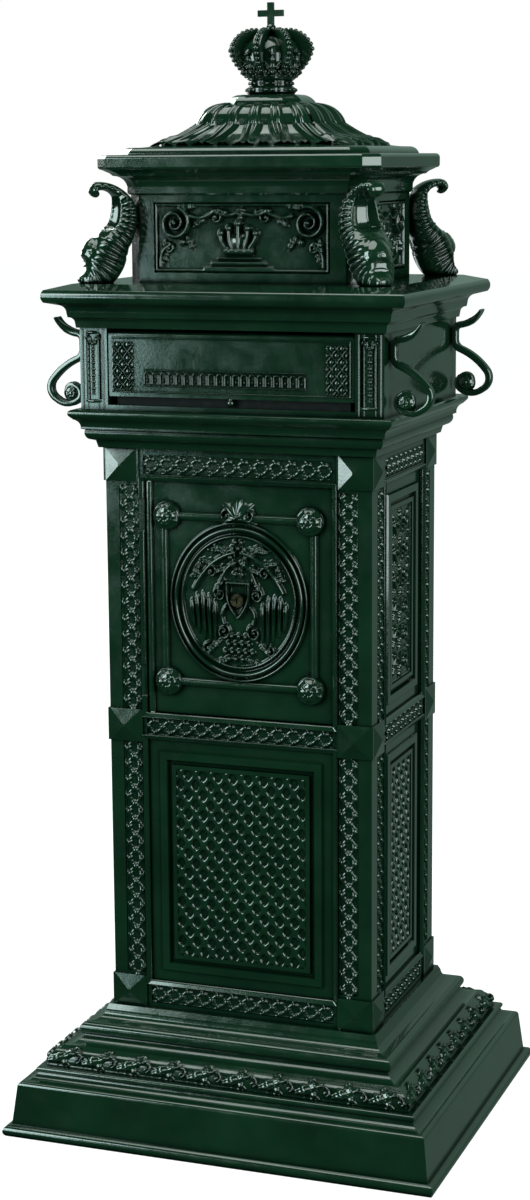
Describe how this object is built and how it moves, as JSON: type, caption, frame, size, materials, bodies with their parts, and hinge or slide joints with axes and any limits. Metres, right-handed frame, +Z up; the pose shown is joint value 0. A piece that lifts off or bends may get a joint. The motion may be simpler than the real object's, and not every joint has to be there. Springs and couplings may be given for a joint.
{
  "type": "pillar mailbox",
  "caption": "Ornamental cast pillar mailbox on a moulded plinth, with a letter flap, a locked collection door, scroll and dolphin brackets and a crown finial.",
  "frame": {"origin": "on the ground, in the middle of the plinth's base", "axes": "+Z up, the letter flap and collection door face -Y, +X to the right seen from the front"},
  "size_m": [0.5248, 0.4528, 1.3],
  "materials": {
    "green_enamel": "glossy enamel on cast iron",
    "fastener_steel": "plain",
    "lock_brass": "tarnished",
    "inner_sheet": "dull black primer on steel sheet"
  },
  "bodies": {
    "pillar": {"attic_bolts": "fastener_steel", "attic_box": "green_enamel", "base_plinth": "green_enamel", "bottom_corner_blocks": "green_enamel", "bracket_screws": "fastener_steel", "corner_bolts": "fastener_steel", "cornice_bolts": "fastener_steel", "crown_finial": "green_enamel", "door_pivot_pins": "fastener_steel", "finial_nut": "fastener_steel", "finial_stud": "fastener_steel", "flap_hinge_pin": "fastener_steel", "front_frame": "green_enamel", "front_lattice_panel": "green_enamel", "front_left_dolphin": "green_enamel", "front_left_scroll": "green_enamel", "front_right_dolphin": "green_enamel", "front_right_scroll": "green_enamel", "left_lattice_panel": "green_enamel", "left_scrollwork_panel": "green_enamel", "left_side_frame": "green_enamel", "letter_chute": "inner_sheet", "mail_shelf": "inner_sheet", "middle_corner_blocks": "green_enamel", "neck_bolts": "fastener_steel", "neck_cornice": "green_enamel", "plinth_bolts": "fastener_steel", "rear_frame": "green_enamel", "rear_lattice_panel": "green_enamel", "rear_left_dolphin": "green_enamel", "rear_left_scroll": "green_enamel", "rear_right_dolphin": "green_enamel", "rear_right_scroll": "green_enamel", "rear_scrollwork_panel": "green_enamel", "right_lattice_panel": "green_enamel", "right_scrollwork_panel": "green_enamel", "right_side_frame": "green_enamel", "roof": "green_enamel", "roof_bolts": "fastener_steel", "roof_cornice": "green_enamel", "roof_cornice_bolts": "fastener_steel", "shaft_top_bolts": "fastener_steel", "shelf_bearers": "inner_sheet", "slot_box": "green_enamel", "top_corner_blocks": "green_enamel", "upper_cornice": "green_enamel"},
    "door": {"collection_door": "green_enamel", "door_bar_frame": "green_enamel", "door_rosettes": "green_enamel", "rosette_nuts": "fastener_steel", "door_medallion": "green_enamel", "lock_barrel": "lock_brass", "bolt_guides": "fastener_steel"},
    "lock_cylinder": {"lock_plug": "lock_brass", "lock_crank": "fastener_steel"},
    "sliding_bolt": {"lock_bolt": "fastener_steel"},
    "flap": {"letter_flap": "green_enamel", "flap_knob": "green_enamel"}
  },
  "joints": [
    {"name": "door_hinge", "type": "hinge", "parent": "pillar", "child": "door", "pos_m": [-0.108, -0.117, 0.634], "axis": [0, 0, -1], "range_deg": [0, 95]},
    {"name": "lock_turn", "type": "hinge", "parent": "door", "child": "lock_cylinder", "pos_m": [0, -0.117, 0.637], "axis": [0, 1, 0], "range_deg": [0, 90]},
    {"name": "bolt_slide", "type": "slide", "parent": "door", "child": "sliding_bolt", "axis": [1, 0, 0], "range_m": [0, 0.017]},
    {"name": "flap_hinge", "type": "hinge", "parent": "pillar", "child": "flap", "pos_m": [0, -0.136, 0.934], "axis": [-1, 0, 0], "range_deg": [0, 80]}
  ],
  "couplings": [
    {"joint": "lock_turn", "follows": "bolt_slide", "rad_per_m": 92.3}
  ]
}
